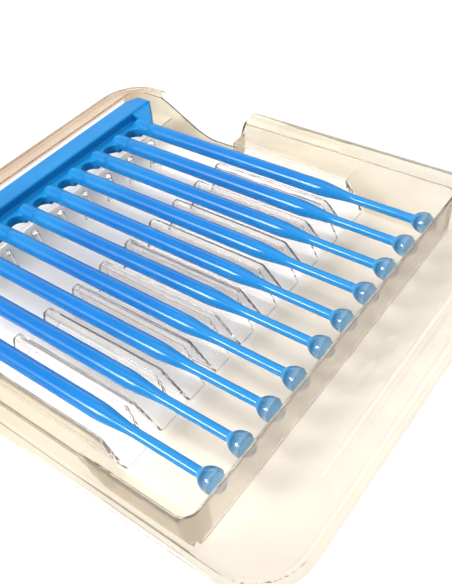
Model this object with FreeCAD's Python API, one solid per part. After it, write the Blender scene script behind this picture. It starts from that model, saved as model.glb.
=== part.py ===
import FreeCAD, Part
import math
import os

# Comb of ten ball-ended probes in a clear thermoformed tray.  Millimetres.
# Origin: middle of the tray's footprint, on the plane it stands on.
# +X runs along the probes from the rail to the ball ends, +Y along the rail, +Z up.

Vec = FreeCAD.Vector
UP = Vec(0, 0, 1)
ALONG_PROBE = Vec(1, 0, 0)

# Comb layout
probe_count = 10
pitch = 7.5
root_x = -39.0          # front edge of the rail's web, where the probes' own lengths start
comb_offset_y = -0.75   # the comb lies a little to one side of the tray

# Probe, lengths along its axis from the root line
shaft_radius = 1.68
neck_radius = 0.92
shaft_length = 49.0
taper_length = 9.5
reach = 73.6            # root line to the middle of the ball
stub_length = 2.7       # shaft that stays on the rail when the probe snaps off
flare_length = 3.0      # neck end to the ball's middle
cup_radius = 2.12
cup_wall = 0.24
cup_rim_past_middle = 0.35
ball_clearance = 0.03
break_gap = 0.04

# Rail
bar_width = 5.4
bar_height = 4.65
bar_overhang = 7.5      # rail past the first and last probe
bar_corner_x = 1.6
bar_corner_y = 3.2
bar_edge_radius = 0.35
lip_rise = 2.4          # bar's top above the probes' axis
web_length = 4.0
web_top = 0.3
web_bottom = -1.9
scallop_forward = 0.15  # middle of the round cut between two roots, past the root line
stub_set_back = 1.1     # rounded end of each shaft, back from the root line
gusset_set_back = 0.4   # gusset's nose, back from the end of the stub
core_width = 2.2
core_depth = 2.9

# Tray sheet and flange
sheet = 0.45
axis_height = 7.45      # probes' axis above the plane the tray stands on
flange_above_axis = 2.6
outline_x = 108.8
outline_y = 94.6
outline_radius = 10.0
rear_flange_y = 45.2    # the flange is narrower beside the rail
bead_width = 2.0
bead_height = 0.45

# Tray pocket, all depths below the probes' axis
pocket_back_x = -50.3
pocket_front_x = 36.8
pocket_half_y = 42.9
pocket_radius = 2.6
draft = 0.05            # wall lean, sideways per unit of height
front_floor_depth = 7.0
rear_floor_depth = 6.5
shelf_half_y = 38.2
shelf_depth = 0.0
slope_top_x = 14.2      # sloping face between the shelf's end and the front floor
slope_foot_x = 18.8
platform_front_x = -38.0

# Ribs between the probes
rib_back_x = -13.6
rib_front_x = 14.2
rib_rise = 0.35
rib_top_width = 1.7
rib_base_width = 3.7
rib_end_slope = 0.62    # run of the rib's front end per unit of height
rib_back_slope = 0.16

# Locating posts just in front of the rail
post_x = -33.4
post_top_radius = 0.75
post_base_radius = 1.3

# Finger notch in both long sides, profile from the rail side to the far side
notch_start_x = -45.0
notch_floor_start_x = -24.5
notch_floor_end_x = -18.0
notch_end_x = -15.6
notch_depth = 5.0       # below the probes' axis

# Stiffening ridge on the wide front flange
ridge_x = 48.9
ridge_width = 2.4
ridge_length = 56.0
ridge_height = 0.5

flange_top = axis_height + flange_above_axis
outer_x = outline_x / 2
outer_y = outline_y / 2
rail_bottom = axis_height + lip_rise - bar_height
over = 1.0              # how far cutters pass the surface they cut


def probe_y(index):
    return ((probe_count - 1) / 2 - index) * pitch + comb_offset_y


def gap_y(index):
    return probe_y(index) - pitch / 2


def box(x0, x1, y0, y1, z0, z1):
    return Part.makeBox(x1 - x0, y1 - y0, z1 - z0, Vec(x0, y0, z0))


def rounded_rectangle(x0, x1, y0, y1, radius, z):
    """Closed wire with four arcs, at height z."""
    k = radius * (1 - math.sqrt(0.5))
    start = [Vec(x0 + radius, y0, z), Vec(x1, y0 + radius, z),
             Vec(x1 - radius, y1, z), Vec(x0, y1 - radius, z)]
    end = [Vec(x1 - radius, y0, z), Vec(x1, y1 - radius, z),
           Vec(x0 + radius, y1, z), Vec(x0, y0 + radius, z)]
    middle = [Vec(x1 - k, y0 + k, z), Vec(x1 - k, y1 - k, z),
              Vec(x0 + k, y1 - k, z), Vec(x0 + k, y0 + k, z)]
    edges = []
    for i in range(4):
        edges.append(Part.makeLine(start[i], end[i]))
        edges.append(Part.Arc(end[i], middle[i], start[(i + 1) % 4]).toShape())
    return Part.Wire(edges)


def plate(x0, x1, y0, y1, radius, z0, z1):
    face = Part.Face(rounded_rectangle(x0, x1, y0, y1, radius, z0))
    return face.extrude(UP * (z1 - z0))


def outline_plate(inset, z0, z1):
    """The flange's outline moved in by inset, narrower beside the rail."""
    radius = outline_radius - inset
    wide = plate(notch_floor_start_x + inset, outer_x - inset, -outer_y + inset, outer_y - inset, radius, z0, z1)
    narrow = plate(-outer_x + inset, -inset, -rear_flange_y + inset, rear_flange_y - inset, radius, z0, z1)
    return wide.fuse(narrow)


def tapered(low, high, radius_low, radius_high, z0, z1):
    """Block between two rounded rectangles (x0, x1, y0, y1), one at each height."""
    wires = [rounded_rectangle(*low, radius_low, z0), rounded_rectangle(*high, radius_high, z1)]
    return Part.makeLoft(wires, True, True)


def revolve_about_probe(points_and_curves, y):
    """Solid of revolution about the axis of the probe at y, from profile edges in local x, r."""
    face = Part.Face(Part.Wire(points_and_curves))
    solid = face.revolve(Vec(0, 0, 0), ALONG_PROBE, 360)
    solid.translate(Vec(root_x, y, axis_height))
    return solid


def smooth_profile(points):
    curve = Part.BSplineCurve()
    tangent = Vec(1, 0, 0)
    curve.interpolate(Points=points, InitialTangent=tangent, FinalTangent=tangent)
    return curve.toShape()


def ball_radius():
    return cup_radius - cup_wall


def probe_stick(y):
    """Shaft, tapered waist, thin neck and the cup that holds the ball."""
    neck_start = shaft_length + taper_length
    neck_end = reach - flare_length
    rim_x = reach + cup_rim_past_middle
    socket = ball_radius() + ball_clearance
    rim_inner = math.sqrt(socket ** 2 - cup_rim_past_middle ** 2)
    rim_outer = rim_inner + cup_wall
    break_x = stub_length + break_gap
    start = Vec(break_x, 0, 0)
    shaft_foot = Vec(break_x, shaft_radius, 0)
    shaft_end = Vec(shaft_length, shaft_radius, 0)
    taper_middle = Vec(shaft_length + taper_length * 0.5, (shaft_radius + neck_radius) / 2, 0)
    neck_first = Vec(neck_start, neck_radius, 0)
    neck_last = Vec(neck_end, neck_radius, 0)
    flare_middle = Vec(reach - flare_length * 0.52, (cup_radius + neck_radius) * 0.53, 0)
    cup_widest = Vec(reach - cup_rim_past_middle, cup_radius, 0)
    rim_out = Vec(rim_x, rim_outer, 0)
    rim_in = Vec(rim_x, rim_inner, 0)
    socket_middle = Vec(reach - socket * math.sqrt(0.5), socket * math.sqrt(0.5), 0)
    socket_end = Vec(reach - socket, 0, 0)
    profile = [
        Part.makeLine(start, shaft_foot),
        Part.makeLine(shaft_foot, shaft_end),
        smooth_profile([shaft_end, taper_middle, neck_first]),
        Part.makeLine(neck_first, neck_last),
        smooth_profile([neck_last, flare_middle, cup_widest]),
        Part.makeLine(cup_widest, rim_out),
        Part.makeLine(rim_out, rim_in),
        Part.Arc(rim_in, socket_middle, socket_end).toShape(),
        Part.makeLine(socket_end, start),
    ]
    return revolve_about_probe(profile, y)


def probe_ball(y):
    return Part.makeSphere(ball_radius(), Vec(root_x + reach, y, axis_height))


def rail_bar():
    """Tall back bar with cut-off rear corners and a cored underside."""
    end_y = probe_y(0) + bar_overhang
    other_y = probe_y(probe_count - 1) - bar_overhang
    front = root_x - web_length
    back = front - bar_width
    corners = [
        Vec(front, other_y, rail_bottom), Vec(front, end_y, rail_bottom),
        Vec(back + bar_corner_x, end_y, rail_bottom), Vec(back, end_y - bar_corner_y, rail_bottom),
        Vec(back, other_y + bar_corner_y, rail_bottom), Vec(back + bar_corner_x, other_y, rail_bottom),
    ]
    bar = Part.Face(Part.makePolygon(corners + corners[:1])).extrude(UP * bar_height)
    top_edges = [e for e in bar.Edges if all(v.Z > rail_bottom + bar_height - 0.01 for v in e.Vertexes)]
    bar = bar.makeFillet(bar_edge_radius, top_edges)
    middle = (front + back) / 2
    core = box(middle - core_width / 2, middle + core_width / 2,
               other_y + bar_corner_y, end_y - bar_corner_y, rail_bottom - over, rail_bottom + core_depth)
    return bar.cut(core)


def rail_web():
    """Thin web from the bar to the probes' roots, scalloped between them."""
    front = root_x - web_length
    side = pitch / 2
    web = box(front, root_x, probe_y(probe_count - 1) - shaft_radius, probe_y(0) + shaft_radius,
              axis_height + web_bottom, axis_height + web_top)
    scallop = side - shaft_radius
    middle_x = root_x + scallop_forward
    for i in range(probe_count - 1):
        notch = Part.makeCylinder(scallop, bar_height * 2, Vec(middle_x, gap_y(i), rail_bottom), UP)
        mouth = box(middle_x, middle_x + over, gap_y(i) - scallop, gap_y(i) + scallop,
                    rail_bottom, rail_bottom + bar_height * 2)
        web = web.cut(notch).cut(mouth)
    return web


def root_stub(y):
    """Rounded end of the probe's shaft that stays on the rail."""
    back = Vec(root_x - stub_set_back, y, axis_height)
    stub = Part.makeCylinder(shaft_radius, stub_set_back + stub_length, back, ALONG_PROBE)
    return stub.fuse(Part.makeSphere(shaft_radius, back))


def gusset(side):
    """Sloping corner web from the bar's end down to the outer probe's stub."""
    outer = probe_y(0) if side > 0 else probe_y(probe_count - 1)
    front = root_x - web_length
    near_y = outer + side * (shaft_radius * 0.6)
    far_y = outer + side * (bar_overhang - 0.2)
    nose_x = root_x + stub_length - gusset_set_back
    low = axis_height + web_bottom
    bar_top = axis_height + lip_rise - bar_edge_radius
    nose_top = axis_height + shaft_radius * 0.75
    bottom = Part.makePolygon([Vec(front - over, near_y, low), Vec(front - over, far_y, low),
                               Vec(front, far_y, low), Vec(nose_x, near_y, low), Vec(front - over, near_y, low)])
    block = Part.Face(bottom).extrude(UP * (bar_top - low))
    run = nose_x - front
    drop = bar_top - nose_top
    wedge = Part.makePolygon([Vec(front, near_y - side * over, bar_top),
                              Vec(nose_x + over, near_y - side * over, bar_top - drop * (run + over) / run),
                              Vec(nose_x + over, near_y - side * over, bar_top + over),
                              Vec(front, near_y - side * over, bar_top + over),
                              Vec(front, near_y - side * over, bar_top)])
    slope = Part.Face(wedge).extrude(Vec(0, side * (bar_overhang + 2 * over), 0))
    return block.cut(slope)


def rail():
    pieces = [rail_web(), gusset(1), gusset(-1)]
    pieces += [root_stub(probe_y(i)) for i in range(probe_count)]
    return rail_bar().multiFuse(pieces).removeSplitter()


def pocket_blocks(grow):
    """The tray's hollow as overlapping drafted blocks; grow makes the sheet's outside."""
    half = pocket_half_y + grow
    back = pocket_back_x - grow
    front = pocket_front_x + grow
    top = flange_top + (over if grow == 0 else 0)
    radius = pocket_radius + grow
    shelf_z = axis_height - shelf_depth - grow
    platform_z = rail_bottom - grow
    rear_z = axis_height - rear_floor_depth - grow
    front_z = axis_height - front_floor_depth - grow
    split = shelf_half_y + grow

    def lean(z):
        return draft * (flange_top - z)

    def block(x0, x1, y, z, x0_top, x1_top, y_top, corner):
        low = (x0, x1, -y, y)
        high = (x0_top, x1_top, -y_top, y_top)
        return tapered(low, high, corner * 0.6, corner, z, top)

    rail_room = block(back + lean(platform_z), platform_front_x + grow, half - lean(platform_z), platform_z,
                      back, platform_front_x + grow, half, radius)
    upper = block(back + lean(shelf_z), front - lean(shelf_z), half - lean(shelf_z), shelf_z,
                  back, front, half, radius)
    side_low = (platform_front_x - sheet - grow, notch_end_x + grow, -half + lean(rear_z), half - lean(rear_z))
    side_high = (platform_front_x - sheet - grow, notch_end_x + grow, -half + lean(shelf_z), half - lean(shelf_z))
    side_room = tapered(side_low, side_high, radius * 0.6, radius * 0.8, rear_z, shelf_z + sheet + over)
    slope = (slope_foot_x - slope_top_x) / front_floor_depth
    rear_low = (platform_front_x - sheet - grow, slope_foot_x + over, -split + lean(rear_z), split - lean(rear_z))
    rear_high = (platform_front_x - sheet - grow, slope_foot_x + over, -split, split)
    rear = tapered(rear_low, rear_high, radius * 0.3, radius * 0.3, rear_z, shelf_z + sheet + over)
    side = half - lean(front_z)
    low = (slope_foot_x - grow, front - lean(front_z), -side, side)
    high = (slope_foot_x - grow - slope * (shelf_z + over - front_z), front - lean(shelf_z + over),
            -half + lean(shelf_z + over), half - lean(shelf_z + over))
    fore = tapered(low, high, radius * 0.6, radius * 0.8, front_z, shelf_z + over)
    return [rail_room, upper, rear, side_room, fore]


def fuse_all(shapes):
    return shapes[0].multiFuse(shapes[1:])


def rib(y, shrink):
    """One raised rib; shrink gives the hollow under it."""
    crest = axis_height + rib_rise - shrink
    foot = axis_height - rear_floor_depth - (over + sheet if shrink else sheet / 2)
    height = crest - foot
    half_top = rib_top_width / 2 - shrink * 0.8
    grow = (rib_base_width - rib_top_width) / 2 / (rib_rise + rear_floor_depth)
    half_base = half_top + grow * height
    low = (rib_back_x - rib_back_slope * height + shrink, rib_front_x + rib_end_slope * height - shrink,
           y - half_base, y + half_base)
    high = (rib_back_x + shrink, rib_front_x - shrink, y - half_top, y + half_top)
    return tapered(low, high, half_base * 0.8, half_top * 0.8, foot, crest)


def post(y, shrink):
    top = axis_height - shrink
    foot = axis_height - rear_floor_depth - (over + sheet if shrink else sheet / 2)
    cone = Part.makeCone(post_base_radius - shrink, post_top_radius - shrink, top - foot, Vec(post_x, y, foot), UP)
    return cone


def rim_bead():
    """Raised bead round the outline, hollow below."""
    low = flange_top - sheet
    top = flange_top + bead_height
    outer = outline_plate(0, low, top)
    inner = outline_plate(bead_width, low - over, top + over)
    hollow_out = outline_plate(sheet, low - over, top - sheet)
    hollow_in = outline_plate(bead_width - sheet, low - 2 * over, top)
    return outer.cut(inner), hollow_out.cut(hollow_in)


def flange_ridge(shrink):
    half_w = ridge_width / 2 - shrink
    half_l = ridge_length / 2 - shrink
    low = flange_top - sheet - (over if shrink else 0)
    high = flange_top + ridge_height - shrink
    lean_in = 0.45
    return tapered((ridge_x - half_w, ridge_x + half_w, -half_l, half_l),
                   (ridge_x - half_w + lean_in, ridge_x + half_w - lean_in, -half_l + lean_in, half_l - lean_in),
                   half_w * 0.9, (half_w - lean_in) * 0.9, low, high)


def finger_notch(side):
    """Cutter: a smooth ramp down from the rail end, a flat bottom and a steep far side."""
    z_top = flange_top + bead_height + over
    z_low = axis_height - notch_depth
    y_in = shelf_half_y - sheet * 4
    steep = 0.35
    start = Vec(notch_start_x, y_in, flange_top + bead_height)
    foot = Vec(notch_floor_start_x, y_in, z_low)
    ramp = Part.BezierCurve()
    pole = Vec((notch_floor_start_x - notch_start_x) * 0.33, 0, 0)
    ramp.setPoles([start, start + pole, foot - pole, foot])
    bottom_end = Vec(notch_floor_end_x, y_in, z_low)
    far = Vec(notch_end_x, y_in, flange_top + bead_height - steep)
    edges = [
        ramp.toShape(),
        Part.makeLine(foot, bottom_end),
        Part.makeLine(bottom_end, far),
        Part.makeLine(far, Vec(notch_end_x, y_in, z_top)),
        Part.makeLine(Vec(notch_end_x, y_in, z_top), Vec(notch_start_x, y_in, z_top)),
        Part.makeLine(Vec(notch_start_x, y_in, z_top), start),
    ]
    cutter = Part.Face(Part.Wire(edges)).extrude(Vec(0, outer_y - y_in + over, 0))
    if side < 0:
        cutter = cutter.mirror(Vec(0, 0, 0), Vec(0, 1, 0))
    return cutter


def tray():
    """One formed sheet: flange, stepped pocket, ribs, posts, bead and finger notches."""
    flange = outline_plate(0, flange_top - sheet, flange_top)
    bead, bead_hollow = rim_bead()
    skin = flange.multiFuse([bead, flange_ridge(0)] + pocket_blocks(sheet))
    body = skin.cut(fuse_all(pocket_blocks(0)))
    raised = [rib(gap_y(i), 0) for i in range(probe_count - 1)]
    raised += [post(gap_y(i), 0) for i in range(probe_count - 1)]
    body = body.multiFuse(raised)
    hollows = [rib(gap_y(i), sheet) for i in range(probe_count - 1)]
    hollows += [post(gap_y(i), sheet * 0.8) for i in range(probe_count - 1)]
    hollows += [bead_hollow, flange_ridge(sheet), finger_notch(1), finger_notch(-1)]
    return body.cut(hollows).removeSplitter()


def single_solid(shape, name):
    solids = shape.Solids
    if len(solids) != 1 or not solids[0].isValid():
        raise ValueError("%s has %d solids" % (name, len(solids)))
    return solids[0]


def save(shape, name):
    solid = single_solid(shape, name)
    solid.exportStep(os.path.join("parts", name + ".step"))
    size = solid.BoundBox
    print("%-14s %8.1f mm3  %s" % (name, solid.Volume, size))


os.makedirs("parts", exist_ok=True)
save(tray(), "tray")
save(rail(), "rail")
for i in range(probe_count):
    save(probe_stick(probe_y(i)), "probe_%02d" % (i + 1))
    save(probe_ball(probe_y(i)), "ball_%02d" % (i + 1))
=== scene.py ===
import math

import bmesh
import bpy
import numpy as np
from mathutils import Matrix, Vector, noise


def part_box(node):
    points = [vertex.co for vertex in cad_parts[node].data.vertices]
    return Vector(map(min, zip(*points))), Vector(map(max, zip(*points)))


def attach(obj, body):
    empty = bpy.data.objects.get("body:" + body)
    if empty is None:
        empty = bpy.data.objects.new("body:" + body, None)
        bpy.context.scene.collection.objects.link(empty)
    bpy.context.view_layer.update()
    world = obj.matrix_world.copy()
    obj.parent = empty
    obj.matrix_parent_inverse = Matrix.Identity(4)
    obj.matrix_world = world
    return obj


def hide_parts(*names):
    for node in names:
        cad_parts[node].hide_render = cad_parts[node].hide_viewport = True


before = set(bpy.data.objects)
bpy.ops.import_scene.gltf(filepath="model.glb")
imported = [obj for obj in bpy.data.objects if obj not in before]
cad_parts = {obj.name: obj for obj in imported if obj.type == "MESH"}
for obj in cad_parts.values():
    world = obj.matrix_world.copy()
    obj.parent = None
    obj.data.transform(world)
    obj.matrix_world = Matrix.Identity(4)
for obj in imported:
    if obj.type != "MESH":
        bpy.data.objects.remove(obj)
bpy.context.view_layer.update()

MM = 0.001

# Comb, millimetres, with the sizes of the CAD part
PROBE_COUNT = 10
ROOT_X = -39.0
AXIS_Z = 7.45
SHAFT_RADIUS = 1.68
NECK_RADIUS = 0.92
STUB_LENGTH = 2.7
BREAK_GAP = 0.04
SHAFT_LENGTH = 49.0
TAPER_LENGTH = 9.5
REACH = 73.6
FLARE_LENGTH = 3.0
CUP_RADIUS = 2.12
CUP_WALL = 0.24
CUP_RIM = 0.35
BALL_RADIUS = CUP_RADIUS - CUP_WALL
BALL_CLEARANCE = 0.03

# Tray, millimetres, with the sizes of the CAD part
SHEET = 0.45
FLANGE_Z = 10.05
OUTER_X = 54.4
OUTER_Y = 47.3
OUTLINE_RADIUS = 10.0
REAR_FLANGE_Y = 45.2
POCKET_X0 = -50.3
POCKET_X1 = 36.8
POCKET_Y = 42.9
POCKET_RADIUS = 2.6
SHELF_Z = 7.45
SHELF_Y = 38.2
PLATFORM_Z = 5.2
PLATFORM_X = -38.0
REAR_Z = 0.95
FRONT_Z = 0.45
SLOPE_TOP_X = 14.2
SLOPE_FOOT_X = 18.8
DRAFT = 0.05
RIB_X0 = -13.6
RIB_X1 = 14.2
RIB_CREST_Z = 7.8
RIB_HALF_TOP = 0.85
RIB_SIDE_RUN = 1.0
RIB_FRONT_SLOPE = 0.62
RIB_BACK_SLOPE = 0.16
POST_X = -33.4
POST_RADIUS = 0.75
POST_RUN = 0.55
BEAD_WIDTH = 2.0
BEAD_HEIGHT = 0.45
RIDGE_X = 48.9
RIDGE_HALF_WIDTH = 1.2
RIDGE_HALF_LENGTH = 28.0
NOTCH_X = (-45.0, -24.5, -18.0, -15.6)     # ramp start, floor start, floor end, far edge
NOTCH_Z = 2.45
NOTCH_Y = 36.4

# Finish of the sheet, millimetres
FILLET = 0.35
ROOM_CORNER = 1.5
RIDGE_HEIGHT = 0.38         # a little softer than the CAD ridge
OUTLINE_INSET = 0.03        # keeps the sheet inside the CAD outline
CORNER_STEPS = 24
NOTCH_RAMP_STEPS = 32
TRAY_CELL = 0.6             # coarsest spacing of the sheet's mesh
WRINKLE_WIDE = 0.028
WRINKLE_FINE = 0.014
SLOPE_STEP = 0.02           # half the span over which the sheet's slope is taken

# Finish of the comb and balls, millimetres
STICK_SIDES = 72
BREAK_EDGE = 0.02
BOWL_LENGTH = 2.8           # bowl's half length behind the ball's middle
BOWL_BLEND = 0.3
MOULD_LINE_HEIGHT = 0.035
MOULD_LINE_SPREAD = 0.07    # radians
BOW = 0.22
BALL_SUBDIVISIONS = 5
BALL_RIPPLE = 0.012
BALL_FLAT = 0.03            # how far the ball's front is pressed flat
BALL_FLAT_START = 0.75      # cosine at which the flat begins
RAIL_VOXEL = 0.16
RAIL_RELAX_ROUNDS = 12
STUB_NEAR = (1.4, 1.85)     # remeshed radii that belong to a stub's skin
STUB_END_REACH = 0.17

# Angles between faces that stay sharp, degrees
TRAY_SHARP = 38
COMB_SHARP = 50
BALL_SHARP = 60


def probe_y(index):
    low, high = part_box("ball_%02d" % (index + 1))
    return (low.y + high.y) / 2 / MM


def gap_ys():
    ys = [probe_y(i) for i in range(PROBE_COUNT)]
    return [(a + b) / 2 for a, b in zip(ys, ys[1:])]


# ---------------------------------------------------------------- meshes

def mesh_object(name, vertices, faces):
    mesh = bpy.data.meshes.new(name)
    mesh.from_pydata([tuple(v) for v in vertices], [], faces)
    mesh.validate()
    mesh.update()
    obj = bpy.data.objects.new(name, mesh)
    bpy.context.scene.collection.objects.link(obj)
    return obj


def smooth_by_angle(obj, degrees):
    obj.data.polygons.foreach_set("use_smooth", [True] * len(obj.data.polygons))
    obj.data.set_sharp_from_angle(angle=math.radians(degrees))


def apply_modifiers(obj):
    graph = bpy.context.evaluated_depsgraph_get()
    mesh = bpy.data.meshes.new_from_object(obj.evaluated_get(graph))
    obj.modifiers.clear()
    old = obj.data
    obj.data = mesh
    bpy.data.meshes.remove(old)
    mesh.name = obj.name


def finish_piece(obj, body, nodes, material):
    obj.data.materials.clear()
    obj.data.materials.append(material)
    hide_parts(*nodes)
    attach(obj, body)


# ---------------------------------------------------------------- tray sheet

def smooth_min(a, b, k):
    h = np.clip(0.5 + 0.5 * (b - a) / k, 0, 1)
    return b * (1 - h) + a * h - k * h * (1 - h)


def smooth_max(a, b, k):
    return -smooth_min(-a, -b, k)


def step(t):
    t = np.clip(t, 0, 1)
    return t * t * (3 - 2 * t)


def inside(x, y, x0, x1, half_y, radius):
    """Distance in from the outline of a rounded rectangle, negative outside."""
    cx, hx = (x0 + x1) / 2, (x1 - x0) / 2
    qx = np.abs(x - cx) - hx + radius
    qy = np.abs(y) - half_y + radius
    out = np.hypot(np.maximum(qx, 0), np.maximum(qy, 0))
    return radius - out - np.minimum(np.maximum(qx, qy), 0)


def drop(d, height):
    """Depth below a wall's top at distance d in from it: round edge, drafted wall, round foot."""
    r = np.minimum(FILLET, height / 2.01)
    run = 2 * r + DRAFT * (height - 2 * r)
    top = r - np.sqrt(np.maximum(r * r - np.clip(d, 0, r) ** 2, 0))
    foot = height - r + np.sqrt(np.maximum(r * r - np.clip(run - d, 0, r) ** 2, 0))
    wall = r + (d - r) / DRAFT
    z = np.where(d < r, top, np.where(d < run - r, wall, foot))
    return np.where(d <= 0, 0, np.where(d >= run, height, z))


def wrinkles(x, y):
    """Slow unevenness of the drawn sheet."""
    wide = np.sin(x * 0.43 + 0.9 * np.sin(y * 0.31)) * np.sin(y * 0.52 + 0.7 * np.sin(x * 0.23))
    fine = np.sin(x * 1.1 + y * 0.7) * np.sin(y * 1.3 - x * 0.4)
    return WRINKLE_WIDE * wide + WRINKLE_FINE * fine


def sheet_height(x, y):
    """Height of the formed sheet's upper face."""
    base = PLATFORM_Z + drop(x - PLATFORM_X, np.full_like(x, SHELF_Z - PLATFORM_Z))
    rear = inside(x, y, PLATFORM_X - SHEET, SLOPE_FOOT_X + 20, SHELF_Y, ROOM_CORNER)
    side_room = inside(x, y, PLATFORM_X - SHEET, NOTCH_X[3], OUTER_Y + 20, ROOM_CORNER)
    level = base - drop(np.maximum(rear, side_room), base - REAR_Z)
    slope = SHELF_Z - (x - SLOPE_TOP_X) * (SHELF_Z - FRONT_Z) / (SLOPE_FOOT_X - SLOPE_TOP_X)
    level = smooth_min(level, smooth_max(slope, np.full_like(x, FRONT_Z), 0.35), 0.2)
    for gap in gap_ys():
        level = smooth_max(level, rib_height(x, y - gap), 0.35)
        level = smooth_max(level, post_height(x, y - gap), 0.5)
    wall = inside(x, y, POCKET_X0, POCKET_X1, POCKET_Y, POCKET_RADIUS)
    z = FLANGE_Z - drop(wall, FLANGE_Z - level)
    edge = np.maximum(inside(x, y, NOTCH_X[1], OUTER_X, OUTER_Y, OUTLINE_RADIUS),
                      inside(x, y, -OUTER_X, 0, REAR_FLANGE_Y, OUTLINE_RADIUS))
    z += BEAD_HEIGHT * step(edge / 0.7 + 0.3) * step((BEAD_WIDTH - edge) / 0.8)
    z += RIDGE_HEIGHT * step((RIDGE_HALF_WIDTH - np.abs(x - RIDGE_X)) / 1.15) \
        * step((RIDGE_HALF_LENGTH - np.abs(y)) / 0.9)
    calm = step((z - FRONT_Z) / 0.5) * 0.7 + 0.3
    return z + wrinkles(x, y) * calm * step(edge / 3)


def rib_height(x, dy):
    """Height of a rib at x, and at dy sideways from its middle."""
    fall = (RIB_CREST_Z - REAR_Z) / RIB_SIDE_RUN
    side = RIB_CREST_Z - (np.sqrt(np.maximum(np.abs(dy) - 0.25, 0) ** 2 + 0.01) - 0.1) * 0.25
    side = smooth_min(side, RIB_CREST_Z - (np.abs(dy) - RIB_HALF_TOP) * fall, 0.6)
    front = RIB_CREST_Z - (x - RIB_X1) / RIB_FRONT_SLOPE
    back = RIB_CREST_Z - (RIB_X0 - x) / RIB_BACK_SLOPE
    return smooth_min(smooth_min(side, front, 0.8), back, 0.8)


def post_height(x, dy):
    """Height of a post at x, and at dy sideways from its middle."""
    r = np.hypot(x - POST_X, dy)
    side = SHELF_Z - (r - POST_RADIUS) * (SHELF_Z - REAR_Z) / POST_RUN
    return smooth_min(SHELF_Z - r * r * 0.25, side, 0.5)


def grid_lines(low, high, coarse, bands):
    """Positions from low to high, at most coarse apart, closer inside each band (start, end, spacing)."""
    values = [low]
    while values[-1] < high:
        at = values[-1]
        gap = min([coarse] + [s for a, b, s in bands if a - coarse <= at <= b])
        values.append(at + gap)
    return np.array(values)


def tray_grid():
    """Grid of points over the tray, finer where the sheet bends."""
    margin = 1.0
    x_bands = [(-OUTER_X, -43.5, 0.4), (POCKET_X0 - 0.1, -48.6, 0.13), (-48.6, -45.6, 0.3),
               (PLATFORM_X - 0.7, -35.9, 0.14), (POST_X - 1.6, POST_X + 1.6, 0.17),
               (RIB_X0 - 1.6, RIB_X0 + 0.5, 0.2), (13.5, 19.5, 0.25), (31.5, 34.5, 0.3),
               (35.9, POCKET_X1 + 0.1, 0.09), (RIDGE_X - 1.5, RIDGE_X + 1.5, 0.2), (44, OUTER_X, 0.4)]
    y_bands = []
    for s in (1, -1):
        for a, b, spacing in ((POCKET_Y - 1.9, POCKET_Y + 0.1, 0.13), (SHELF_Y - 1.8, SHELF_Y + 0.1, 0.13),
                              (38.3, 41, 0.3), (37, OUTER_Y, 0.4)):
            y_bands.append((min(s * a, s * b), max(s * a, s * b), spacing))
    for gap in gap_ys():
        y_bands.append((gap - 2.2, gap + 2.2, 0.19))
    x = grid_lines(-OUTER_X - margin, OUTER_X + margin, TRAY_CELL, x_bands)
    y = grid_lines(-OUTER_Y - margin, OUTER_Y + margin, TRAY_CELL, y_bands)
    return np.meshgrid(x, y, indexing="ij")


def sheet_mesh():
    """Closed sheet: the formed upper face, and the same face set back by the sheet's thickness."""
    x, y = tray_grid()
    z = sheet_height(x, y)
    e = SLOPE_STEP
    dx = (sheet_height(x + e, y) - sheet_height(x - e, y)) / (2 * e)
    dy = (sheet_height(x, y + e) - sheet_height(x, y - e)) / (2 * e)
    length = np.sqrt(dx * dx + dy * dy + 1)
    top = np.stack([x, y, z], -1).reshape(-1, 3)
    normal = np.stack([-dx / length, -dy / length, 1 / length], -1).reshape(-1, 3)
    low = top - normal * SHEET
    low[:, 2] = np.maximum(low[:, 2], 0.0)
    n, m = x.shape
    index = np.arange(n * m).reshape(n, m)
    a, b, c, d = index[:-1, :-1], index[1:, :-1], index[1:, 1:], index[:-1, 1:]
    upper = np.stack([a, b, c, d], -1).reshape(-1, 4)
    under = upper[:, ::-1] + n * m
    ring = np.concatenate([index[:, 0], index[-1, 1:], index[-2::-1, -1], index[0, -2:0:-1]])
    following = np.roll(ring, -1)
    rim = np.stack([following, ring, ring + n * m, following + n * m], -1)
    faces = np.concatenate([upper, under, rim]).tolist()
    return mesh_object("formed_tray", np.concatenate([top, low]) * MM, faces)


def prism(name, outline, low, high, swap=False):
    """Closed prism over a convex or plain outline; swap puts the outline in the XZ plane."""
    n = len(outline)
    if swap:
        vertices = [(x, low, z) for x, z in outline] + [(x, high, z) for x, z in outline]
    else:
        vertices = [(x, y, low) for x, y in outline] + [(x, y, high) for x, y in outline]
    faces = [list(range(n)), list(range(2 * n - 1, n - 1, -1))]
    faces += [[i + n, (i + 1) % n + n, (i + 1) % n, i] for i in range(n)]
    return mesh_object(name, np.array(vertices) * MM, faces)


def outline_points(inset, count):
    """The flange's outline from above, narrower beside the rail."""
    corners = ((OUTER_X, OUTER_Y, 0), (-OUTER_X, REAR_FLANGE_Y, 1),
               (-OUTER_X, -REAR_FLANGE_Y, 2), (OUTER_X, -OUTER_Y, 3))
    points = []
    for x, y, quarter in corners:
        cx = x - math.copysign(OUTLINE_RADIUS, x)
        cy = y - math.copysign(OUTLINE_RADIUS, y)
        arc = []
        for i in range(count + 1):
            angle = math.pi / 2 * (quarter + i / count)
            radius = OUTLINE_RADIUS - inset
            arc.append((cx + radius * math.cos(angle), cy + radius * math.sin(angle)))
        step_x = NOTCH_X[1] + inset
        if quarter == 0:
            arc += [(step_x, OUTER_Y - inset), (step_x, REAR_FLANGE_Y - inset)]
        if quarter == 2:
            arc += [(step_x, inset - REAR_FLANGE_Y), (step_x, inset - OUTER_Y)]
        points += arc
    return points


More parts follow.
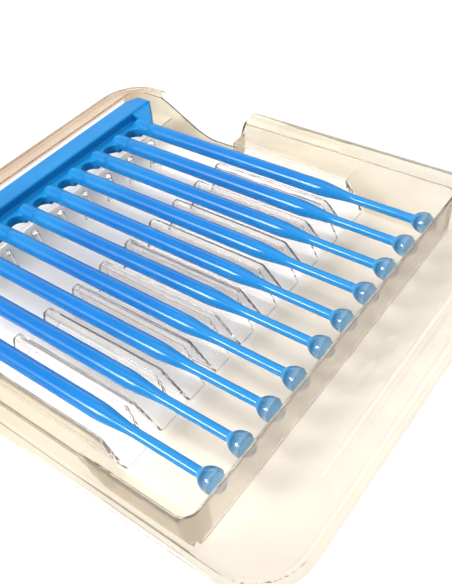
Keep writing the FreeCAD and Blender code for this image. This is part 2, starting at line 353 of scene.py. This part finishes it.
def notch_outline():
    """Profile (x, z) of what the finger notch takes away."""
    x0, x1, x2, x3 = NOTCH_X
    top = FLANGE_Z + BEAD_HEIGHT
    points = []
    for i in range(NOTCH_RAMP_STEPS + 1):
        t = i / NOTCH_RAMP_STEPS
        points.append((x0 + (x1 - x0) * t, top + (NOTCH_Z - top) * float(step(t))))
    points += [(x2 - 0.7, NOTCH_Z), (x2 - 0.2, NOTCH_Z + 0.2), (x2 + 0.1, NOTCH_Z + 0.7),
               (x3 - 0.15, top - 0.8), (x3, top - 0.2), (x3, top + 2), (x0, top + 2)]
    return points


def cut(obj, tool, operation):
    modifier = obj.modifiers.new(operation.lower(), "BOOLEAN")
    modifier.operation = operation
    modifier.solver = "MANIFOLD"
    modifier.object = tool
    apply_modifiers(obj)
    bpy.data.objects.remove(tool)


def outward(obj):
    """Turns all faces of a closed mesh outward."""
    work = bmesh.new()
    work.from_mesh(obj.data)
    bmesh.ops.recalc_face_normals(work, faces=work.faces)
    work.to_mesh(obj.data)
    work.free()
    return obj


def build_tray(material):
    tray = outward(sheet_mesh())
    edge = prism("tray_outline", outline_points(OUTLINE_INSET, CORNER_STEPS), -2, 20)
    cut(tray, outward(edge), "INTERSECT")
    for side in (1, -1):
        low, high = sorted((side * NOTCH_Y, side * (OUTER_Y + 2)))
        notch = prism("notch_tool", notch_outline(), low, high, swap=True)
        cut(tray, outward(notch), "DIFFERENCE")
    smooth_by_angle(tray, TRAY_SHARP)
    finish_piece(tray, "tray_body", ["tray"], material)


# ---------------------------------------------------------------- probes

def blend_radius(x, x0, x1, r0, r1):
    t = min(max((x - x0) / (x1 - x0), 0), 1)
    return r0 + (r1 - r0) * t * t * (3 - 2 * t)


def stick_profile():
    """Closed profile (x, r) from the break face over the outside to the bottom of the socket."""
    start = STUB_LENGTH + BREAK_GAP
    points = [(start, 0), (start, SHAFT_RADIUS - BREAK_EDGE), (start + BREAK_EDGE, SHAFT_RADIUS)]
    points += [(x, SHAFT_RADIUS) for x in np.linspace(start + 2, SHAFT_LENGTH, 20)]
    taper_end = SHAFT_LENGTH + TAPER_LENGTH
    points += [(x, blend_radius(x, SHAFT_LENGTH, taper_end, SHAFT_RADIUS, NECK_RADIUS))
               for x in np.linspace(SHAFT_LENGTH, taper_end, 22)[1:]]
    neck_end = REACH - FLARE_LENGTH
    points += [(x, NECK_RADIUS) for x in np.linspace(taper_end, neck_end, 10)[1:]]
    points += [(x, bowl_radius(REACH - x)) for x in np.linspace(neck_end, REACH, 26)[1:]]
    points.append((REACH + CUP_RIM - 0.12, CUP_RADIUS))
    socket = BALL_RADIUS + BALL_CLEARANCE
    rim_r = math.sqrt(socket ** 2 - CUP_RIM ** 2)
    points += [(REACH + CUP_RIM - 0.02, CUP_RADIUS - 0.07), (REACH + CUP_RIM, (CUP_RADIUS + rim_r) / 2),
               (REACH + CUP_RIM, rim_r)]
    first = math.atan2(rim_r, CUP_RIM)
    for angle in np.linspace(first, math.pi, 16)[1:-1]:
        points.append((REACH + socket * math.cos(angle), socket * math.sin(angle)))
    points.append((REACH - socket, 0))
    return points


def bowl_radius(back):
    """Outer radius of the cup at a distance back from the ball's middle, with a fillet to the neck."""
    bowl = CUP_RADIUS * math.sqrt(max(1 - (back / BOWL_LENGTH) ** 2, 0))
    return float(smooth_max(bowl, NECK_RADIUS, BOWL_BLEND))


def seam(angle, x):
    """Height of the mould's parting line on the two sides of the stick."""
    off = min(abs(angle), abs(angle - math.pi), abs(angle - 2 * math.pi))
    if x >= REACH - FLARE_LENGTH:
        return 0.0
    return MOULD_LINE_HEIGHT * math.exp(-(off / MOULD_LINE_SPREAD) ** 2)


def bow(index, x):
    """Sideways bend of one probe, zero at its root."""
    amount = BOW * math.sin(index * 2.7 + 0.8)
    return amount * max(x - STUB_LENGTH, 0) ** 2 / REACH ** 2


def build_stick(index, material):
    y0 = probe_y(index)
    profile = stick_profile()
    around = STICK_SIDES
    vertices, faces = [], []
    first, last = profile[0], profile[-1]
    rings = profile[1:-1]
    vertices.append((ROOT_X + first[0], y0, AXIS_Z))
    for x, r in rings:
        outer = r >= 0.9 * NECK_RADIUS
        for k in range(around):
            angle = 2 * math.pi * k / around
            rr = r + (seam(angle, x) if outer and x > STUB_LENGTH + 0.2 else 0)
            vertices.append((ROOT_X + x, y0 + bow(index, x) + rr * math.cos(angle),
                             AXIS_Z + rr * math.sin(angle)))
    vertices.append((ROOT_X + last[0], y0 + bow(index, last[0]), AXIS_Z))
    for k in range(around):
        after = (k + 1) % around
        faces.append((0, 1 + after, 1 + k))
        end = 1 + (len(rings) - 1) * around
        faces.append((end + k, end + after, len(vertices) - 1))
        for i in range(len(rings) - 1):
            a, b = 1 + i * around, 1 + (i + 1) * around
            faces.append((a + k, a + after, b + after, b + k))
    name = "probe_%02d" % (index + 1)
    stick = outward(mesh_object("stick_%02d" % (index + 1), np.array(vertices) * MM, faces))
    smooth_by_angle(stick, COMB_SHARP)
    finish_piece(stick, "probe_body_%02d" % (index + 1), [name], material)


def build_ball(index, material):
    name = "ball_%02d" % (index + 1)
    work = bmesh.new()
    bmesh.ops.create_icosphere(work, subdivisions=BALL_SUBDIVISIONS, radius=BALL_RADIUS * MM)
    for v in work.verts:
        d = v.co.normalized()
        ripple = noise.noise(d * 2.3 + Vector((index * 3.1, 0, 0))) * BALL_RIPPLE
        flat = BALL_FLAT * max(d.x - BALL_FLAT_START, 0) / (1 - BALL_FLAT_START)
        v.co += d * (min(ripple, 0.0) - flat) * MM
    mesh = bpy.data.meshes.new("clear_" + name)
    work.to_mesh(mesh)
    work.free()
    ball = bpy.data.objects.new("clear_" + name, mesh)
    bpy.context.scene.collection.objects.link(ball)
    ball.location = (Vector((ROOT_X + REACH, probe_y(index) + bow(index, REACH), AXIS_Z))) * MM
    bpy.context.view_layer.update()
    ball.data.transform(ball.matrix_world)
    ball.matrix_world = Matrix.Identity(4)
    smooth_by_angle(ball, BALL_SHARP)
    finish_piece(ball, "probe_body_%02d" % (index + 1), [name], material)


# ---------------------------------------------------------------- rail

def true_stubs(rail):
    """Brings the remeshed stubs back to the shaft's radius, so they meet the probes."""
    ys = [probe_y(i) for i in range(PROBE_COUNT)]
    end = ROOT_X + STUB_LENGTH
    for v in rail.data.vertices:
        x, y, z = v.co / MM
        if x < ROOT_X + 1.0:
            continue
        axis_y = min(ys, key=lambda value: abs(value - y))
        r = math.hypot(y - axis_y, z - AXIS_Z)
        if STUB_NEAR[0] < r < STUB_NEAR[1]:
            k = SHAFT_RADIUS / r
            y, z = axis_y + (y - axis_y) * k, AXIS_Z + (z - AXIS_Z) * k
        if x > end - STUB_END_REACH:
            x = end
        v.co = Vector((x, y, z)) * MM


def build_rail(material):
    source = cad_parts["rail"]
    rail = bpy.data.objects.new("moulded_rail", source.data.copy())
    bpy.context.scene.collection.objects.link(rail)
    for key in list(rail.keys()):
        del rail[key]
    remesh = rail.modifiers.new("remesh", "REMESH")
    remesh.mode = "VOXEL"
    remesh.voxel_size = RAIL_VOXEL * MM
    apply_modifiers(rail)
    relax = rail.modifiers.new("relax", "SMOOTH")
    relax.factor = 0.5
    relax.iterations = RAIL_RELAX_ROUNDS
    apply_modifiers(rail)
    true_stubs(rail)
    smooth_by_angle(rail, COMB_SHARP)
    finish_piece(rail, "rail_body", ["rail"], material)


# ---------------------------------------------------------------- materials

class Nodes:
    """Small helper that adds shader nodes and links them."""

    def __init__(self, name):
        self.material = bpy.data.materials.new(name)
        self.material.use_nodes = True
        self.tree = self.material.node_tree
        self.shader = self.tree.nodes["Principled BSDF"]
        self.output = self.tree.nodes["Material Output"]

    def add(self, kind, **values):
        node = self.tree.nodes.new(kind)
        for key, value in values.items():
            if key in node.inputs:
                node.inputs[key].default_value = value
            else:
                setattr(node, key, value)
        return node

    def link(self, a, b):
        self.tree.links.new(a, b)

    def set(self, **values):
        for key, value in values.items():
            self.shader.inputs[key.replace("_", " ")].default_value = value

    def coords(self):
        return self.add("ShaderNodeTexCoord").outputs["Object"]

    def noise(self, scale, detail=3.0, rough=0.5, stretch=(1, 1, 1)):
        mapping = self.add("ShaderNodeMapping")
        mapping.inputs["Scale"].default_value = stretch
        self.link(self.coords(), mapping.inputs["Vector"])
        node = self.add("ShaderNodeTexNoise", Scale=scale, Detail=detail, Roughness=rough)
        self.link(mapping.outputs["Vector"], node.inputs["Vector"])
        return node.outputs["Fac"]

    def ramp(self, fac, stops):
        node = self.add("ShaderNodeValToRGB")
        ramp = node.color_ramp
        while len(ramp.elements) < len(stops):
            ramp.elements.new(0.5)
        for element, (position, colour) in zip(ramp.elements, stops):
            element.position = position
            element.color = (*colour, 1)
        self.link(fac, node.inputs["Fac"])
        return node.outputs["Color"]

    def remap(self, value, low, high, out_low, out_high):
        node = self.add("ShaderNodeMapRange")
        node.inputs["From Min"].default_value = low
        node.inputs["From Max"].default_value = high
        node.inputs["To Min"].default_value = out_low
        node.inputs["To Max"].default_value = out_high
        self.link(value, node.inputs["Value"])
        return node.outputs["Result"]

    def axis(self, name):
        node = self.add("ShaderNodeSeparateXYZ")
        self.link(self.coords(), node.inputs["Vector"])
        return node.outputs[name]

    def mix(self, fac, a, b):
        node = self.add("ShaderNodeMix", data_type="RGBA")
        self.link(fac, node.inputs["Factor"])
        for socket, value in ((node.inputs[6], a), (node.inputs[7], b)):
            if isinstance(value, tuple):
                socket.default_value = (*value, 1)
            else:
                self.link(value, socket)
        return node.outputs[2]

    def bump(self, height, strength, distance):
        node = self.add("ShaderNodeBump", Strength=strength, Distance=distance)
        self.link(height, node.inputs["Height"])
        return node.outputs["Normal"]


RAIL_DEEP = (0.003, 0.165, 0.46)
RAIL_LIGHT = (0.006, 0.24, 0.57)
SHAFT_DEEP = (0.002, 0.13, 0.44)
SHAFT_LIGHT = (0.004, 0.19, 0.55)
# Lighter blue of the neck: partly the neck's own colour, partly a painted highlight along the neck
NECK_BLUE_AND_SHEEN = (0.015, 0.235, 0.56)
CUP_BLUE = (0.10, 0.52, 0.90)
RIM_CLEAR = (0.62, 0.80, 0.94)
BALL_TINTS = ((0.74, 0.79, 0.85), (0.86, 0.88, 0.92))
PLASTIC_GLOW = {"Subsurface_Weight": 0.12, "Subsurface_Radius": (0.15, 0.5, 1.2), "Subsurface_Scale": 0.0015}

# Darker and lighter tint of the clear sheet in each zone
SHEET_TAN = ((0.47, 0.35, 0.25), (0.54, 0.42, 0.31))
SHEET_YELLOW = ((0.62, 0.555, 0.44), (0.69, 0.63, 0.51))
SHEET_CREAM = ((0.59, 0.545, 0.48), (0.66, 0.615, 0.55))
# Near-clear tint for the pocket under the comb and its raised parts; on the pocket floor it is painted
# light, lighter than the rest of the sheet to lift the shade the comb casts between the probes
SHEET_CLEAR_WITH_PAINTED_LIGHT = ((0.95, 0.935, 0.93), (0.985, 0.975, 0.97))
SHEET_SAND = ((0.68, 0.64, 0.58), (0.76, 0.72, 0.66))
FLOOR_TINTS = ((0.93, 0.93, 0.935), (0.95, 0.95, 0.95))


def between(n, fac, tints, low=0.3, high=0.7):
    """Colour that runs from the first tint at fac low to the second at fac high."""
    return n.ramp(fac, [(low, tints[0]), (high, tints[1])])


def rail_clouds(n):
    return between(n, n.noise(90, 4, 0.55, (1, 0.35, 1)), (RAIL_DEEP, RAIL_LIGHT), high=0.72)


def rail_plastic():
    n = Nodes("rail_blue_plastic")
    n.link(rail_clouds(n), n.shader.inputs["Base Color"])
    n.link(n.remap(n.noise(600, 3), 0.3, 0.7, 0.36, 0.48), n.shader.inputs["Roughness"])
    n.link(n.bump(n.noise(1400, 3), 0.12, 0.00006), n.shader.inputs["Normal"])
    n.set(IOR=1.49, Specular_IOR_Level=0.18, **PLASTIC_GLOW)
    return n.material


def probe_plastic():
    n = Nodes("probe_blue_plastic")
    cloud = n.noise(110, 4, 0.55, (0.2, 1, 1))
    along = n.axis("X")
    away = n.remap(along, (ROOT_X + STUB_LENGTH + 1) * MM, (ROOT_X + 20) * MM, 0, 1)
    shaft = n.mix(away, rail_clouds(n), between(n, cloud, (SHAFT_DEEP, SHAFT_LIGHT), high=0.72))
    shaft_end, ball_x = ROOT_X + SHAFT_LENGTH, ROOT_X + REACH
    # Toward the neck the blue turns lighter, partly a painted highlight along the neck
    thin_neck_and_sheen = n.remap(along, (shaft_end - 8) * MM, (shaft_end + TAPER_LENGTH) * MM, 0, 1)
    cup = n.remap(along, (ball_x - FLARE_LENGTH) * MM, (ball_x - 1.4) * MM, 0, 1)
    rim = n.remap(along, (ball_x - 1.2) * MM, (ball_x + 0.2) * MM, 0, 1)
    blue = n.mix(cup, n.mix(thin_neck_and_sheen, shaft, NECK_BLUE_AND_SHEEN), CUP_BLUE)
    n.link(n.mix(rim, blue, RIM_CLEAR), n.shader.inputs["Base Color"])
    n.link(n.remap(cup, 0, 1, 0, 0.85), n.shader.inputs["Transmission Weight"])
    taper = n.remap(along, (ROOT_X + STUB_LENGTH + 2) * MM, (shaft_end + 4) * MM, 0.42, 0.11)
    grain = n.remap(n.noise(500, 3, 0.5, (0.3, 1, 1)), 0.3, 0.7, -0.04, 0.04)
    total = n.add("ShaderNodeMath", operation="ADD")
    n.link(taper, total.inputs[0])
    n.link(grain, total.inputs[1])
    n.link(total.outputs[0], n.shader.inputs["Roughness"])
    n.link(n.bump(n.noise(1500, 3, 0.5, (0.25, 1, 1)), 0.1, 0.00005), n.shader.inputs["Normal"])
    n.set(IOR=1.49, Specular_IOR_Level=0.26, **PLASTIC_GLOW)
    return n.material


def lamps_pass(n, tint):
    """Rays from lamps go straight through, dimmed by tint, so what lies below is lit."""
    path = n.add("ShaderNodeLightPath")
    clear = n.add("ShaderNodeBsdfTransparent")
    clear.inputs["Color"].default_value = (*tint, 1)
    mix = n.add("ShaderNodeMixShader")
    n.link(path.outputs["Is Shadow Ray"], mix.inputs["Fac"])
    n.link(n.shader.outputs["BSDF"], mix.inputs[1])
    n.link(clear.outputs["BSDF"], mix.inputs[2])
    n.link(mix.outputs["Shader"], n.output.inputs["Surface"])


def ball_clear():
    n = Nodes("clear_ball_glass")
    n.link(between(n, n.noise(700, 2), BALL_TINTS), n.shader.inputs["Base Color"])
    n.link(n.remap(n.noise(900, 3), 0.35, 0.7, 0.0, 0.06), n.shader.inputs["Roughness"])
    n.link(n.bump(n.noise(900, 2), 0.25, 0.00008), n.shader.inputs["Normal"])
    n.set(Transmission_Weight=1.0, IOR=1.26)
    lamps_pass(n, (0.85, 0.92, 0.98))
    return n.material


def tray_sheet():
    n = Nodes("clear_tray_sheet")
    cloud = n.noise(60, 4, 0.6)
    height = n.axis("Z")
    along = n.axis("X")
    zones = (SHEET_TAN, SHEET_YELLOW, SHEET_CREAM, SHEET_CLEAR_WITH_PAINTED_LIGHT, SHEET_SAND)
    tan, yellow, cream, clear, sand = [between(n, cloud, tints) for tints in zones]
    beside = n.mix(n.remap(along, -50 * MM, -42 * MM, 0, 1), tan, yellow)
    rim = n.mix(n.remap(along, 0, POCKET_X1 * MM, 0, 1), beside, cream)
    # Pocket floor: painted light behind the slope, where the near-clear tint lifts the comb's shade; the
    # front floor keeps the sand tint
    floor = n.mix(n.remap(along, SLOPE_TOP_X * MM, (SLOPE_FOOT_X + 2) * MM, 0, 1), clear, sand)
    lower = n.mix(n.remap(height, 1.1 * MM, 1.8 * MM, 0, 1), floor, clear)
    aside = n.add("ShaderNodeMath", operation="ABSOLUTE")
    n.link(n.axis("Y"), aside.inputs[0])
    high = n.add("ShaderNodeMath", operation="MAXIMUM")
    n.link(n.remap(height, 8.6 * MM, 9.6 * MM, 0, 1), high.inputs[0])
    n.link(n.remap(aside.outputs[0], (SHELF_Y - 0.4) * MM, (SHELF_Y + 0.4) * MM, 0, 1), high.inputs[1])
    n.link(n.mix(high.outputs[0], lower, rim), n.shader.inputs["Base Color"])
    n.link(n.remap(n.noise(220, 4, 0.6), 0.35, 0.75, 0.0, 0.06), n.shader.inputs["Roughness"])
    n.link(n.bump(n.noise(260, 3, 0.5), 0.25, 0.0001), n.shader.inputs["Normal"])
    n.set(Transmission_Weight=0.95, IOR=1.3)
    lamps_pass(n, (0.99, 0.985, 0.975))
    return n.material


def floor_material():
    n = Nodes("pale_floor")
    n.link(between(n, n.noise(6, 3), FLOOR_TINTS), n.shader.inputs["Base Color"])
    n.set(Roughness=0.7)
    return n.material


# ---------------------------------------------------------------- stage, light and camera

def build_floor():
    size, steps = 3.0, 12
    ticks = np.linspace(-size, size, steps + 1)
    vertices = [(x, y, 0.0) for x in ticks for y in ticks]
    row = steps + 1
    faces = [(i * row + j, (i + 1) * row + j, (i + 1) * row + j + 1, i * row + j + 1)
             for i in range(steps) for j in range(steps)]
    floor = mesh_object("floor", vertices, faces)
    floor.location.z = -0.0002
    floor.data.materials.append(floor_material())


# Name, direction from the object, distance in metres, width and height in metres, watts and colour
LIGHTS = (
    ("window", (-0.42, -0.70, 0.52), 0.9, 0.22, 0.32, 8.0, (1.0, 0.99, 0.97)),
    ("ceiling", (0.1, 0.15, 1.0), 1.1, 1.4, 1.4, 8.4, (1.0, 0.985, 0.97)),
    ("back", (-0.75, 0.55, 0.45), 1.1, 0.9, 0.4, 2.4, (1.0, 0.99, 0.98)),
)
SKY_COLOUR = (0.93, 0.96, 1.0, 1)
SKY_STRENGTH = 0.55


def area_light(name, direction, distance, width, height, power, colour):
    data = bpy.data.lights.new(name, "AREA")
    data.shape = "RECTANGLE"
    data.size = width
    data.size_y = height
    data.energy = power
    data.color = colour
    light = bpy.data.objects.new(name, data)
    bpy.context.scene.collection.objects.link(light)
    aim = Vector(direction).normalized()
    light.location = aim * distance
    light.rotation_euler = aim.to_track_quat("Z", "Y").to_euler()


def build_light():
    for row in LIGHTS:
        area_light(*row)
    world = bpy.data.worlds.new("studio")
    world.use_nodes = True
    background = world.node_tree.nodes["Background"]
    background.inputs["Color"].default_value = SKY_COLOUR
    background.inputs["Strength"].default_value = SKY_STRENGTH
    bpy.context.scene.world = world


# Camera, millimetres and degrees
CAMERA_AT = (79.30, -73.92, 103.08)
CAMERA_AIM = (12.43, -2.043, 7.45)
CAMERA_ROLL = -8.55
CAMERA_LENS = 45.98


def build_camera():
    data = bpy.data.cameras.new("camera")
    data.lens = CAMERA_LENS
    data.sensor_width = 36
    data.clip_start = 0.005
    camera = bpy.data.objects.new("camera", data)
    bpy.context.scene.collection.objects.link(camera)
    at, aim = Vector(CAMERA_AT) * MM, Vector(CAMERA_AIM) * MM
    turn = (aim - at).to_track_quat("-Z", "Y").to_matrix().to_4x4()
    roll = Matrix.Rotation(math.radians(CAMERA_ROLL), 4, "Z")
    camera.matrix_world = Matrix.Translation(at) @ turn @ roll
    bpy.context.scene.camera = camera


def main():
    rail_blue, probe_blue = rail_plastic(), probe_plastic()
    clear, sheet = ball_clear(), tray_sheet()
    build_tray(sheet)
    build_rail(rail_blue)
    for i in range(PROBE_COUNT):
        build_stick(i, probe_blue)
        build_ball(i, clear)
    build_floor()
    build_light()
    build_camera()
    bpy.context.scene.view_settings.view_transform = "Standard"


main()
